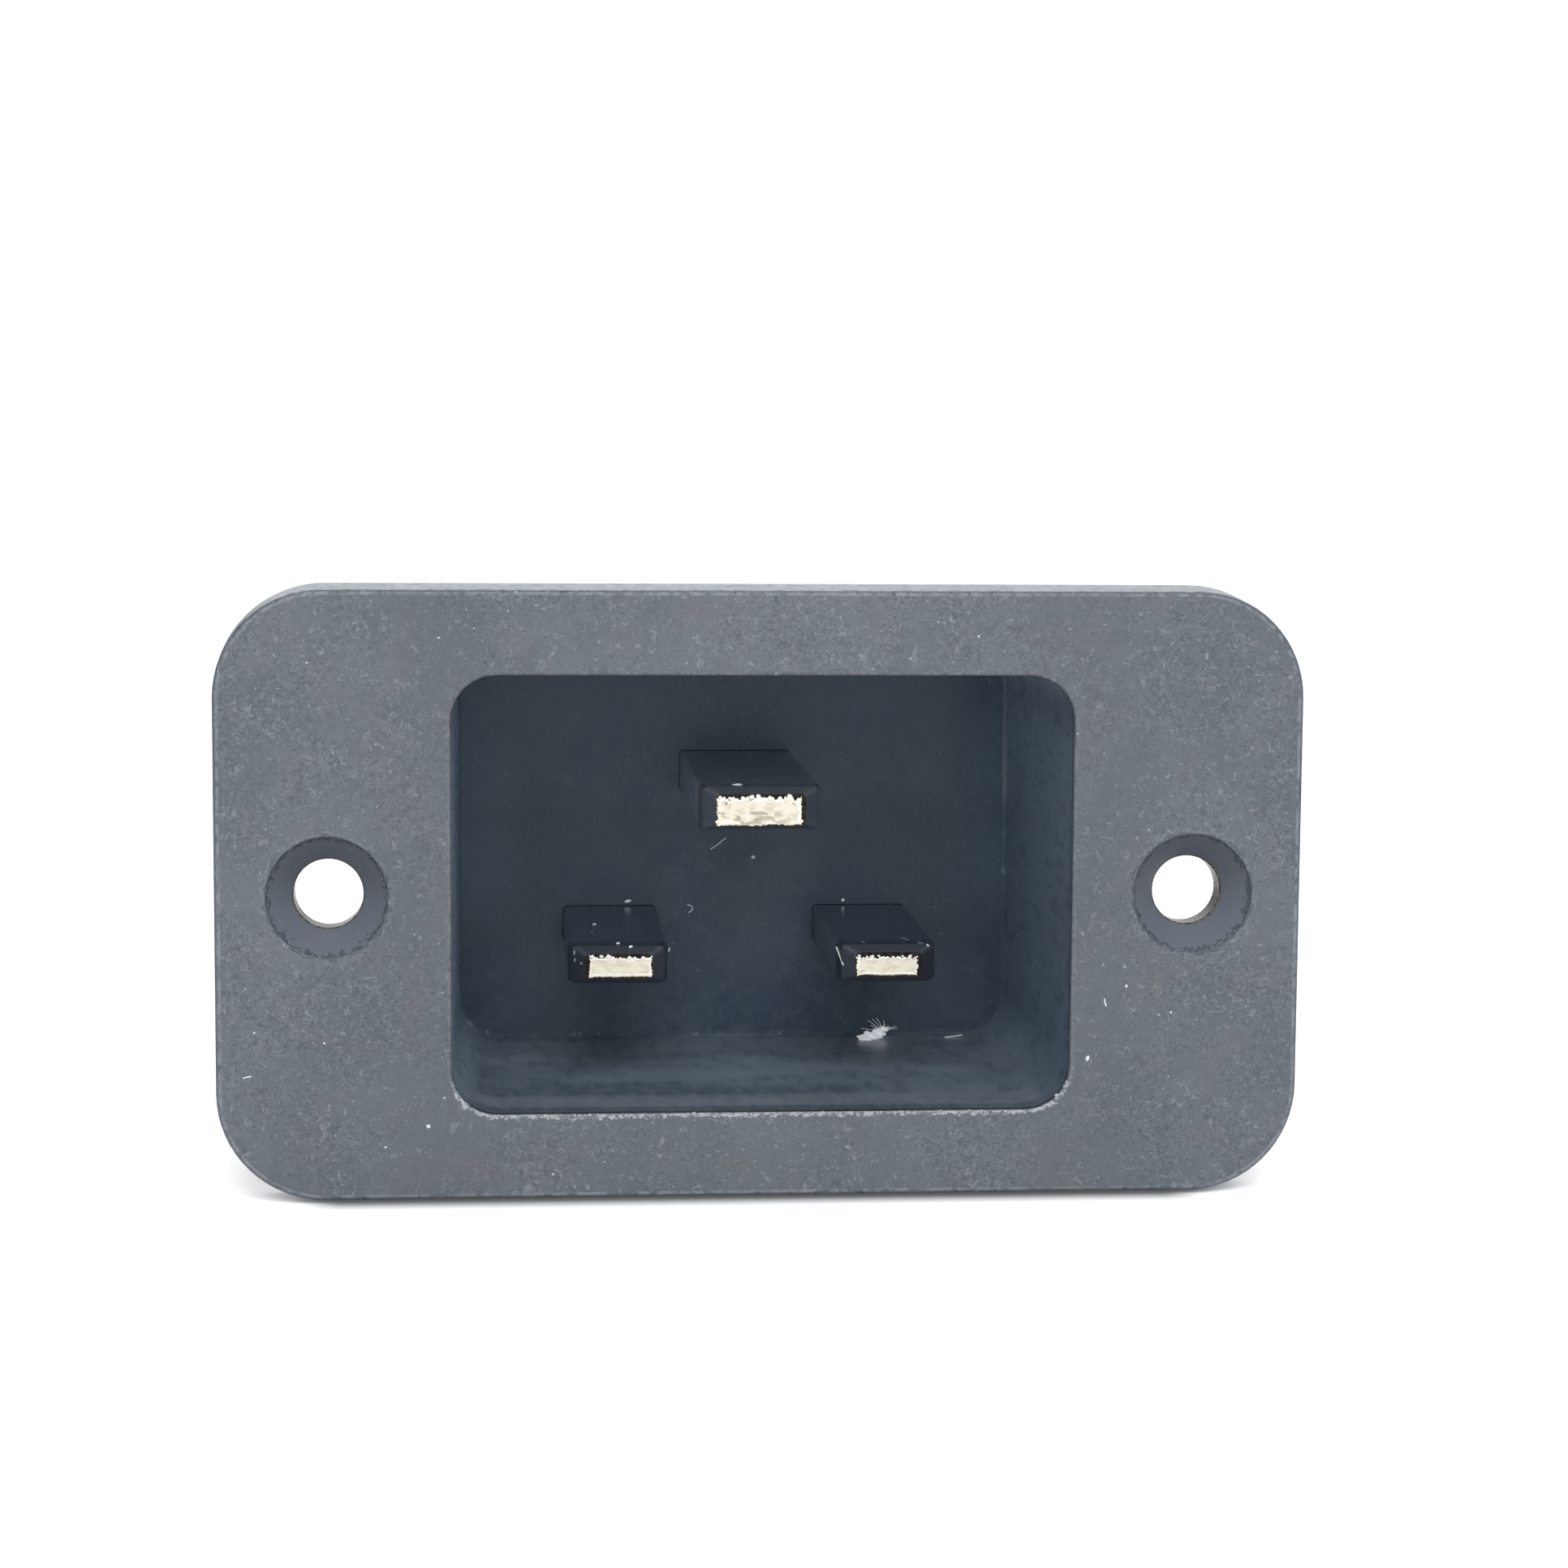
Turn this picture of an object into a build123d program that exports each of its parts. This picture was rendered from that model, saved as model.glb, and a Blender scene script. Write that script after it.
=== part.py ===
from build123d import *

import os
from math import radians, tan

# An appliance inlet for a panel: a moulded housing with three solid pins, push-on tabs behind
# them and a cover plate. Millimetres. +Z is up, with the earth pin on top, and the front faces
# -Y. The origin is the centre of the flange's rear face, where the flange meets the panel.

# Flange
flange_width = 50.2
flange_height = 28.15
flange_thickness = 2.8
flange_corner_radius = 5.0
flange_side_draft = 3.3
flange_edge_radius = 0.25

# Screw holes
hole_spacing = 40.0
hole_diameter = 3.2
countersink_diameter = 5.6
countersink_angle = 82.0
countersink_rim = 0.15

# Cavity that the connector enters
cavity_width = 28.7
cavity_height = 20.3
cavity_depth = 20.0
cavity_corner_radius = 2.1
cavity_draft = 0.25
cavity_lip_radius = 0.12
cavity_floor_radius = 0.15

# Shroud, floor and rear skirt
shroud_wall = 1.7
shroud_draft = 0.4
floor_thickness = 3.0
skirt_wall = 2.4
skirt_lip = 1.0
skirt_edge_chamfer = 0.3

# Pins
pin_spacing = 13.0
row_drop = 4.2
earth_rise = 8.0
live_width = 4.8
live_thickness = 1.95
live_recess = 5.9
earth_width = 5.75
earth_thickness = 2.15
earth_recess = 1.8
pin_edge_radius = 0.25
tip_length = 1.5
tip_side_bevel = 0.78
tip_flat_bevel = 0.36
tip_swell_share = 0.55
tip_swell_taper = 0.22
slot_clearance = 0.02
collar_overhang = 1.5
collar_thickness = 1.4

# Rivets that hold the tabs
tenon_inset = 0.1
tenon_clearance = 0.03
rivet_head_overhang = 0.65
rivet_head_height = 0.5

# Push-on tabs
tab_width = 6.3
tab_thickness = 0.8
tab_bend_radius = 0.5
tab_foot_reach = 2.1
tab_offset = 3.1
tab_length = 8.6
tab_hole_diameter = 1.7
tab_hole_setback = 3.6
tab_corner_chamfer = 1.0
tab_edge_bevel = 0.2

# Cover plate
cover_thickness = 1.5
cover_clearance = 0.1
cover_ledge = 0.8
cover_slot_clearance = 0.25
cover_edge_chamfer = 0.3
rib_height = 0.8
rib_width = 0.9
rib_length = 3.4

# Posts that stake the cover
post_diameter = 2.4
post_clearance = 0.1
post_wall_gap = 2.2
post_head_overhang = 0.6
post_head_height = 0.7

# Places along Y, from the front to the back
face_y = -flange_thickness
floor_y = face_y + cavity_depth
collar_y = floor_y + floor_thickness
foot_y = collar_y + collar_thickness
foot_back_y = foot_y + tab_thickness
cover_y = foot_back_y + rib_height
cover_back_y = cover_y + cover_thickness
skirt_end_y = cover_back_y + skirt_lip

# Outline of the shroud and of the space in the skirt
shroud_width = cavity_width + 2 * shroud_wall
shroud_height = cavity_height + 2 * shroud_wall
shroud_corner_radius = cavity_corner_radius + shroud_wall
rebate_width = shroud_width - 2 * (skirt_wall - cover_ledge)
rebate_height = shroud_height - 2 * (skirt_wall - cover_ledge)
pocket_width = rebate_width - 2 * cover_ledge
pocket_height = rebate_height - 2 * cover_ledge
post_radius = post_diameter / 2
post_x = pocket_width / 2 - post_wall_gap - post_radius
post_z = pocket_height / 2 - post_wall_gap - post_radius


class Contact:
    """One pin and its tab: where it stands, its section, its tip and the side its tab is on."""

    def __init__(self, x, z, width, thickness, recess, tab_side):
        self.x = x
        self.z = z
        self.width = width
        self.thickness = thickness
        self.tip_y = face_y + recess
        self.tenon_radius = thickness / 2 - tenon_inset
        self.head_radius = self.tenon_radius + rivet_head_overhang
        self.tab_z = z + tab_side * tab_offset
        self.tab_side = tab_side


contacts = {
    "line": Contact(-pin_spacing / 2, -row_drop, live_width, live_thickness, live_recess, -1),
    "neutral": Contact(pin_spacing / 2, -row_drop, live_width, live_thickness, live_recess, -1),
    "earth": Contact(0, earth_rise - row_drop, earth_width, earth_thickness, earth_recess, 1),
}


def facing_front(y, x=0.0, z=0.0):
    """A sketch plane across the part, with X to the right, Z up and its normal to the front."""
    return Plane(origin=(x, y, z), x_dir=(1, 0, 0), z_dir=(0, -1, 0))


def block(width, height, front, back, x=0.0, z=0.0):
    """A plain block between two places along Y."""
    return extrude(facing_front(back, x, z) * Rectangle(width, height), back - front)


def rounded_block(width, height, radius, front, back):
    """A block with rounded corners round the centre line."""
    outline = RectangleRounded(width, height, radius)
    return extrude(facing_front(back) * outline, back - front)


def rod(radius, front, back, x=0.0, z=0.0):
    """A round rod along Y."""
    return extrude(facing_front(back, x, z) * Circle(radius), back - front)


def dome(base_radius, height, y, x, z):
    """A low staked or peened head that stands on a face at y and bulges to the rear."""
    sphere_radius = (base_radius**2 + height**2) / (2 * height)
    ball = Pos(x, y + height - sphere_radius, z) * Sphere(sphere_radius)
    return ball & rod(base_radius, y, y + height, x, z)


def flange():
    """The plate at the front, whose sides widen towards the panel, with a soft front edge."""
    spread = 2 * flange_thickness * tan(radians(flange_side_draft))
    corner = flange_corner_radius + spread / 2
    outline = RectangleRounded(flange_width + spread, flange_height + spread, corner)
    plate = extrude(facing_front(0) * outline, flange_thickness, taper=flange_side_draft)
    front_face = plate.faces().sort_by(Axis.Y)[0]
    return fillet(front_face.edges(), flange_edge_radius)


def shroud():
    """The box behind the panel, a little narrower at the rear so that it leaves its mould."""
    outline = RectangleRounded(shroud_width, shroud_height, shroud_corner_radius)
    box = extrude(facing_front(0) * outline, -skirt_end_y, taper=shroud_draft)
    rear_face = box.faces().sort_by(Axis.Y)[-1]
    return chamfer(rear_face.edges(), skirt_edge_chamfer)


def cavity():
    """The space for the connector, with a small round where its walls meet the floor."""
    outline = RectangleRounded(cavity_width, cavity_height, cavity_corner_radius)
    space = extrude(facing_front(face_y) * outline, -cavity_depth, taper=cavity_draft)
    floor = space.faces().sort_by(Axis.Y)[-1]
    return fillet(floor.edges(), cavity_floor_radius)


def countersunk_hole(x):
    """A screw hole through the flange, with a short straight rim and a cone at the front."""
    cone_radius = countersink_diameter / 2
    hole_radius = hole_diameter / 2
    cone_y = face_y + countersink_rim
    neck_y = cone_y + (cone_radius - hole_radius) / tan(radians(countersink_angle / 2))
    profile = Polyline(
        (0, face_y), (cone_radius, face_y), (cone_radius, cone_y), (hole_radius, neck_y),
        (hole_radius, 0), (0, 0),
        close=True,
    )
    return Pos(x, 0, 0) * revolve(make_face(profile), Axis.Y)


def stake_post(x):
    """A post from the floor through the cover, with its end formed over into a head."""
    post = rod(post_radius, collar_y, cover_back_y, x, post_z)
    return post + dome(post_radius + post_head_overhang, post_head_height, cover_back_y, x, post_z)


def housing():
    body = flange() + shroud() - cavity()
    front_face = body.faces().sort_by(Axis.Y)[0]
    body = fillet(front_face.inner_wires()[0].edges(), cavity_lip_radius)
    for side in (-1, 1):
        body -= countersunk_hole(side * hole_spacing / 2)
    pocket_corner = max(shroud_corner_radius - skirt_wall, flange_edge_radius)
    body -= rounded_block(pocket_width, pocket_height, pocket_corner, collar_y, skirt_end_y)
    rebate_corner = pocket_corner + cover_ledge
    body -= rounded_block(rebate_width, rebate_height, rebate_corner, cover_y, skirt_end_y)
    for contact in contacts.values():
        slot = facing_front(collar_y, contact.x, contact.z) * blade_outline(contact, margin=slot_clearance)
        body -= extrude(slot, floor_thickness)
    for side in (-1, 1):
        body += stake_post(side * post_x)
    return body


def blade_outline(contact, tapered=0.0, margin=0.0):
    """A pin's section with rounded edges: tapered goes from 0 to -1 at the tip, margin is for its slot."""
    width = contact.width + 2 * (tapered * tip_side_bevel + margin)
    thickness = contact.thickness + 2 * (tapered * tip_flat_bevel + margin)
    return RectangleRounded(width, thickness, pin_edge_radius + margin)


def pin(contact):
    """A solid blade with a coined tip, a collar behind the floor and a peened tenon."""
    shoulder_y = contact.tip_y + tip_length
    x = contact.x
    z = contact.z
    shank = extrude(facing_front(collar_y, x, z) * blade_outline(contact), collar_y - shoulder_y)
    swell_y = shoulder_y - tip_length * tip_swell_share
    sections = [
        facing_front(shoulder_y, x, z) * blade_outline(contact),
        facing_front(swell_y, x, z) * blade_outline(contact, -tip_swell_taper),
        facing_front(contact.tip_y, x, z) * blade_outline(contact, -1.0),
    ]
    tip = loft(sections, ruled=True)
    collar_width = contact.width + 2 * collar_overhang
    collar_height = contact.thickness + 2 * collar_overhang
    collar = block(collar_width, collar_height, collar_y, foot_y, x, z)
    tenon = rod(contact.tenon_radius, foot_y, foot_back_y, x, z)
    head = dome(contact.head_radius, rivet_head_height, foot_back_y, x, z)
    return shank + tip + collar + tenon + head


def tab(contact):
    """A strip bent square: a foot riveted on the pin and a blade for a push-on terminal."""
    side = contact.tab_side
    x = contact.x
    end_y = cover_back_y + tab_length
    outer_z = contact.tab_z + side * tab_thickness / 2
    inner_z = outer_z - side * tab_thickness
    free_z = contact.z - side * tab_foot_reach
    section = Polyline(
        (foot_y, free_z), (foot_y, outer_z), (end_y, outer_z), (end_y, inner_z),
        (foot_back_y, inner_z), (foot_back_y, free_z),
        close=True,
    )
    strip = extrude(Plane.YZ.offset(x - tab_width / 2) * make_face(section), tab_width)
    across = strip.edges().filter_by(Axis.X)
    outside = across.filter_by_position(Axis.Y, foot_y - 0.01, foot_y + 0.01)
    outside = outside.filter_by_position(Axis.Z, outer_z - 0.01, outer_z + 0.01)
    strip = fillet(outside, tab_bend_radius + tab_thickness)
    across = strip.edges().filter_by(Axis.X)
    inside = across.filter_by_position(Axis.Y, foot_back_y - 0.01, foot_back_y + 0.01)
    inside = inside.filter_by_position(Axis.Z, inner_z - 0.01, inner_z + 0.01)
    strip = fillet(inside, tab_bend_radius)
    end_face = strip.faces().sort_by(Axis.Y)[-1]
    strip = chamfer(end_face.edges().filter_by(Axis.Z), tab_corner_chamfer)
    end_face = strip.faces().sort_by(Axis.Y)[-1]
    strip = chamfer(end_face.edges().filter_by(Axis.X), tab_edge_bevel)
    blade_hole = Pos(x, end_y - tab_hole_setback, contact.tab_z) * Cylinder(
        tab_hole_diameter / 2, 2 * tab_thickness
    )
    tenon_hole = rod(contact.tenon_radius + tenon_clearance, foot_y, foot_back_y, x, contact.z)
    return strip - blade_hole - tenon_hole


def rear_cover():
    """The plate in the rebate, with ribs at the front that press the feet of the tabs."""
    width = rebate_width - 2 * cover_clearance
    height = rebate_height - 2 * cover_clearance
    corner = max(shroud_corner_radius - skirt_wall, flange_edge_radius) + cover_ledge - cover_clearance
    plate = rounded_block(width, height, corner, cover_y, cover_back_y)
    plate = chamfer(plate.faces().sort_by(Axis.Y)[-1].edges(), cover_edge_chamfer)
    for contact in contacts.values():
        slot_width = tab_width + 2 * cover_slot_clearance
        slot_height = tab_thickness + 2 * cover_slot_clearance
        plate -= block(slot_width, slot_height, cover_y, cover_back_y, contact.x, contact.tab_z)
        rib_x = tab_width / 2 - rib_width / 2
        for side in (-1, 1):
            x = contact.x + side * rib_x
            plate += block(rib_width, rib_length, foot_back_y, cover_y, x, contact.z)
    for side in (-1, 1):
        plate -= rod(post_radius + post_clearance, cover_y, cover_back_y, side * post_x, post_z)
    return plate


def save(name, shape):
    export_step(shape, os.path.join("parts", name + ".step"))


os.makedirs("parts", exist_ok=True)
save("housing", housing())
for contact_name, contact in contacts.items():
    save(contact_name + "_pin", pin(contact))
    save(contact_name + "_tab", tab(contact))
save("rear_cover", rear_cover())
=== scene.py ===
import random
from math import cos, exp, pi, radians, sin

import bmesh
import bpy
from mathutils import Matrix, Vector, noise


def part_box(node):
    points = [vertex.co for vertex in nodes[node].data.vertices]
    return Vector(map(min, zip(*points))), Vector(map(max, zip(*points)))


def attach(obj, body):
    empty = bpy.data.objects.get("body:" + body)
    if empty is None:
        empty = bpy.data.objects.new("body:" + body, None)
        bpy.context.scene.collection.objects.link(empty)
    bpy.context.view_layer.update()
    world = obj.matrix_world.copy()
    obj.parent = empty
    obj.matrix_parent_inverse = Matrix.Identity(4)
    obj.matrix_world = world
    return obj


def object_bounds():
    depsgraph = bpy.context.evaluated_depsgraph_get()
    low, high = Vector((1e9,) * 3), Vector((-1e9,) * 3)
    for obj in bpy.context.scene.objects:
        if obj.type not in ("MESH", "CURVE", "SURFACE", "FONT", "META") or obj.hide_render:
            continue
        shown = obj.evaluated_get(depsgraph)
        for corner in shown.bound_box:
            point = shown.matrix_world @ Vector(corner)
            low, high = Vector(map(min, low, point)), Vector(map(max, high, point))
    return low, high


# Places and sizes are in millimetres in the part's own frame, with its front towards -Y
MM = 0.001

# Where a colour Mix node has its two colours and its result, after those for numbers and vectors
MIX_FIRST, MIX_SECOND, MIX_RESULT = 6, 7, 2

# How far one step of a noise field's shift moves it along each axis, in grains
NOISE_SHIFT = (3.1, 5.3, 7.7)

# The photograph's frame and the camera that matches it
FRAME_PIXELS = 1932
FOCAL_PIXELS = 4088
SENSOR_MM = 36.0
CAMERA_PLACE_MM = (-11.8, -153.9, 20.76)
CAMERA_TURN_DEG = (84.13, -0.37, -4.76)

# Light: the lamps' places and size are in metres
SKY_LEVEL = 0.5
KEY_LAMP_WATTS = 0.7
KEY_LAMP_PLACE = (0.02, -0.34, 0.285)
FRONT_LAMP_WATTS = 0.34
FRONT_LAMP_PLACE = (-0.03, -0.5, 0.16)
LAMP_SIZE = 0.25

# The table's own glow, its colour as a reflector and as the camera sees it, and its painted contact
# shadow
FLOOR_FILL = 0.1
FLOOR_COLOR = 0.86
FLOOR_SEEN_COLOR = 2.0
CONTACT_SHADOW_MM = 2.5
CONTACT_SHADOW_X = (-19.2, 18.8)
CONTACT_SHADOW_COLOR = (0.085, 0.1, 0.13, 1)

# The housing's outlines on the front: width, height and corner radius
FLANGE_FACE = (50.2, 28.15, 5.0)
OPENING = (28.7, 20.3, 2.1)
HOLE_X = 20.0
COUNTERSINK_RADIUS = 2.8
BORE_RADIUS = 1.6
LIP_DEPTH = 0.12
CAVITY_DEPTH = 20.0
FLANGE_DEPTH = 2.8

# The crust on a sheared pin: its mesh, thickness and material slots, and how far it stands off
CRUST_COLUMNS = 80
CRUST_ROWS = 26
CRUST_MM = 0.04
CRUST_GAP = 0.002
CRUST_SUNK = 0.004
TORN, GOLDEN, BURNT, ROLLED = range(4)

# Loose dust
SMALL_CRUMBS = 18
LINT_HAIRS = 14

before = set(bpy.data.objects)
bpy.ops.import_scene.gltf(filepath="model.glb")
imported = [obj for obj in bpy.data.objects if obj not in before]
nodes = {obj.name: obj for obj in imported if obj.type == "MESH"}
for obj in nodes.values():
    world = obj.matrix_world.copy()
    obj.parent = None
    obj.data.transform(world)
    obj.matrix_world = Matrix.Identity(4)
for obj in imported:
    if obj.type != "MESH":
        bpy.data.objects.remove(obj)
cad_low, cad_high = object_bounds()
face_y = cad_low.y / MM
floor_y = face_y + CAVITY_DEPTH


class Shader:
    """A material under construction: adds nodes and links them."""

    def __init__(self, name):
        self.material = bpy.data.materials.new(name)
        self.material.use_nodes = True
        self.tree = self.material.node_tree
        self.tree.nodes.clear()
        self.output = self.tree.nodes.new("ShaderNodeOutputMaterial")
        self.place = self.tree.nodes.new("ShaderNodeTexCoord").outputs["Object"]

    def node(self, kind, **settings):
        """Adds a node of this kind, with these settings."""
        made = self.tree.nodes.new("ShaderNode" + kind)
        for key, value in settings.items():
            setattr(made, key, value)
        return made

    def feed(self, socket, value):
        """Gives a socket its value, or links it to the node that makes the value."""
        if isinstance(value, bpy.types.NodeSocket):
            self.tree.links.new(value, socket)
        else:
            socket.default_value = value

    def math(self, operation, first, second=0.0):
        made = self.node("Math", operation=operation)
        self.feed(made.inputs[0], first)
        self.feed(made.inputs[1], second)
        return made.outputs[0]

    def product(self, first, *others):
        """All the values multiplied together."""
        for other in others:
            first = self.math("MULTIPLY", first, other)
        return first

    def plus(self, first, second):
        return self.math("ADD", first, second)

    def minus(self, first, second):
        return self.math("SUBTRACT", first, second)

    def larger(self, first, second):
        return self.math("MAXIMUM", first, second)

    def size(self, value):
        """The value without its sign."""
        return self.math("ABSOLUTE", value)

    def remap(self, value, low, high, to_low=0.0, to_high=1.0):
        """A smooth step from one value to another while the input goes from low to high."""
        made = self.node("MapRange", interpolation_type="SMOOTHSTEP")
        for socket, given in zip(made.inputs, (value, low, high, to_low, to_high)):
            self.feed(socket, given)
        return made.outputs["Result"]

    def stretched(self, scale, offset=(0, 0, 0)):
        """The object's coordinates in millimetres, with a scale and an offset for each axis."""
        made = self.node("VectorMath", operation="MULTIPLY_ADD")
        self.feed(made.inputs[0], self.place)
        made.inputs[1].default_value = [s / MM for s in scale]
        made.inputs[2].default_value = offset
        return made.outputs[0]

    def noise(self, grain_mm, detail=3.0, roughness=0.55, distortion=0.0, stretch=(1, 1, 1), shift=0.0):
        """Soft noise with grains of one size; a shift of its own keeps it unlike the others."""
        made = self.node("TexNoise")
        offset = [step * shift for step in NOISE_SHIFT]
        scale = [share / grain_mm for share in stretch]
        self.feed(made.inputs["Vector"], self.stretched(scale, offset))
        made.inputs["Scale"].default_value = 1.0
        made.inputs["Detail"].default_value = detail
        made.inputs["Roughness"].default_value = roughness
        made.inputs["Distortion"].default_value = distortion
        return made.outputs["Fac"]

    def wobble(self, grain_mm, width, **settings):
        """A wandering offset about zero, which makes an outline ragged."""
        return self.product(self.minus(self.noise(grain_mm, **settings), 0.5), width)

    def blend(self, share, first, second):
        """The first colour, with a share of the second over it."""
        made = self.node("Mix", data_type="RGBA")
        self.feed(made.inputs["Factor"], share)
        self.feed(made.inputs[MIX_FIRST], first)
        self.feed(made.inputs[MIX_SECOND], second)
        return made.outputs[MIX_RESULT]

    def along(self, axis):
        """The place along one axis, in millimetres."""
        made = self.node("SeparateXYZ")
        self.feed(made.inputs[0], self.stretched((1, 1, 1)))
        return made.outputs[axis]

    def facing(self):
        """The X, Y and Z of the surface's normal."""
        made = self.node("SeparateXYZ")
        self.feed(made.inputs[0], self.node("NewGeometry").outputs["Normal"])
        return made.outputs

    def length(self, first, second):
        """The distance from zero of a point with these two coordinates."""
        squares = self.plus(self.product(first, first), self.product(second, second))
        return self.math("SQRT", squares)

    def outline_distance(self, width, height, radius):
        """Millimetres from a rounded rectangle on the front, below zero inside it."""
        x = self.minus(self.size(self.along("X")), width / 2 - radius)
        z = self.minus(self.size(self.along("Z")), height / 2 - radius)
        corner = self.length(self.larger(x, 0.0), self.larger(z, 0.0))
        flat = self.math("MINIMUM", self.larger(x, z), 0.0)
        return self.minus(self.plus(corner, flat), radius)

    def band(self, value, low, high, soft):
        """One between two values, fading to zero over a soft edge."""
        rise = self.remap(value, low - soft, low)
        fall = self.remap(value, high, high + soft, 1.0, 0.0)
        return self.product(rise, fall)

    def hairlines(self, grain_mm, width, shift):
        """Thin wandering lines, where a noise field crosses its middle."""
        field = self.noise(grain_mm, detail=1.0, distortion=0.8, shift=shift)
        away = self.size(self.minus(field, 0.5))
        line = self.remap(away, 0.0, width, 1.0, 0.0)
        patches = self.remap(self.noise(grain_mm * 0.8, detail=1.0, shift=shift + 5), 0.56, 0.66)
        return self.product(line, patches)

    def bump(self, height, depth_mm):
        """The surface's normal, tilted by a relief of this depth."""
        made = self.node("Bump")
        made.inputs["Strength"].default_value = 1.0
        made.inputs["Distance"].default_value = depth_mm * MM
        self.feed(made.inputs["Height"], height)
        return made.outputs[0]

    def surface(self, color, roughness, normal=None, metallic=0.0, **constants):
        """Ends the material with one glossy surface, and returns it."""
        made = self.node("BsdfPrincipled")
        self.feed(made.inputs["Base Color"], color)
        self.feed(made.inputs["Roughness"], roughness)
        made.inputs["Metallic"].default_value = metallic
        if normal is not None:
            self.feed(made.inputs["Normal"], normal)
        for name, value in constants.items():
            made.inputs[name.replace("_", " ")].default_value = value
        self.tree.links.new(made.outputs[0], self.output.inputs["Surface"])
        return self.material


def srgb(red, green, blue):
    """A colour given as it looks on screen, from 0 to 255, in linear light."""
    def linear(value):
        value = value / 255
        return value / 12.92 if value <= 0.04045 else ((value + 0.055) / 1.055) ** 2.4
    return (linear(red), linear(green), linear(blue), 1.0)


def flange_grain(s):
    """The flange's face as moulded: cloudy and mottled, with small light flecks and dark pits."""
    clouds = s.noise(6.0, detail=3.0, shift=7)
    color = s.blend(s.remap(clouds, 0.3, 0.7), srgb(93, 101, 110), srgb(103, 110, 118))
    rosy = s.remap(s.noise(1.7, detail=2.0, shift=37), 0.5, 0.72, 0.0, 0.5)
    color = s.blend(rosy, color, srgb(107, 105, 114))
    mossy = s.remap(s.noise(2.1, detail=2.0, shift=39), 0.52, 0.74, 0.0, 0.5)
    color = s.blend(mossy, color, srgb(97, 107, 107))
    mottle = s.noise(0.23, detail=2.5, roughness=0.62, distortion=1.3, shift=5)
    patchy = s.remap(s.noise(5.0, detail=2.0, shift=75), 0.4, 0.6, 0.3, 0.9)
    dark = s.product(s.remap(mottle, 0.34, 0.5, 1.0, 0.0), patchy)
    color = s.blend(dark, color, srgb(79, 85, 94))
    pale = s.product(s.remap(mottle, 0.52, 0.72), patchy)
    color = s.blend(pale, color, srgb(125, 131, 139))
    flecks = s.noise(0.26, detail=1.0, distortion=2.2, stretch=(0.75, 1.0, 1.2), shift=9)
    color = s.blend(s.remap(flecks, 0.67, 0.75, 0.0, 0.6), color, srgb(156, 162, 170))
    pits = s.noise(0.22, detail=1.0, distortion=1.6, shift=15)
    color = s.blend(s.remap(pits, 0.66, 0.76, 0.0, 0.7), color, srgb(66, 71, 80))
    strokes = s.product(s.hairlines(0.6, 0.035, 13), 0.5)
    return s.blend(strokes, color, srgb(156, 162, 169))


def flange_color(s, from_edge, from_hole):
    """The flange's grain and nicked rim, with painted light and shade: a broken highlight line inside
    the edge, a shaded rounded rim, shade beside the opening, and a painted dark ring and light ring at
    each countersink's edge.
    """
    color = flange_grain(s)
    broken = s.remap(s.noise(0.5, detail=2.0, shift=19), 0.35, 0.6)
    # Painted highlight: a broken light line just inside the flange's edge, where its rounding catches
    # the light.
    outline = s.product(s.band(from_edge, -0.24, -0.15, 0.05), broken, 0.55)
    color = s.blend(outline, color, srgb(152, 159, 167))
    # Painted shade: the flange darker in a band beside the opening.
    shade_beside_opening = s.product(s.band(s.size(s.along("X")), 14.4, 15.5, 4.5), 0.26)
    color = s.blend(shade_beside_opening, color, srgb(80, 86, 94))
    # Painted shade: the rounded outer rim darker and bluer.
    rim_shade = s.remap(from_edge, -0.12, 0.0, 0.0, 0.55)
    color = s.blend(rim_shade, color, srgb(58, 68, 86))
    nicks = s.noise(0.3, detail=3.0, distortion=0.6, stretch=(1.0, 0.4, 0.4), shift=73)
    nicks = s.product(s.remap(nicks, 0.58, 0.66), s.remap(from_edge, -0.3, -0.1, 0.0, 0.7))
    color = s.blend(nicks, color, srgb(58, 64, 74))
    ragged = s.plus(from_hole, s.wobble(0.35, 0.9, shift=55))
    # Painted shade: a dark ragged ring on the countersink's edge.
    torn = s.band(ragged, COUNTERSINK_RADIUS - 0.05, COUNTERSINK_RADIUS + 0.04, 0.05)
    color = s.blend(s.product(torn, 0.6), color, srgb(66, 72, 80))
    # Painted highlight: a broken light ring just outside the countersink's edge.
    burr = s.band(ragged, COUNTERSINK_RADIUS + 0.12, COUNTERSINK_RADIUS + 0.2, 0.06)
    return s.blend(s.product(burr, broken, 0.3), color, srgb(138, 144, 152))


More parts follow.
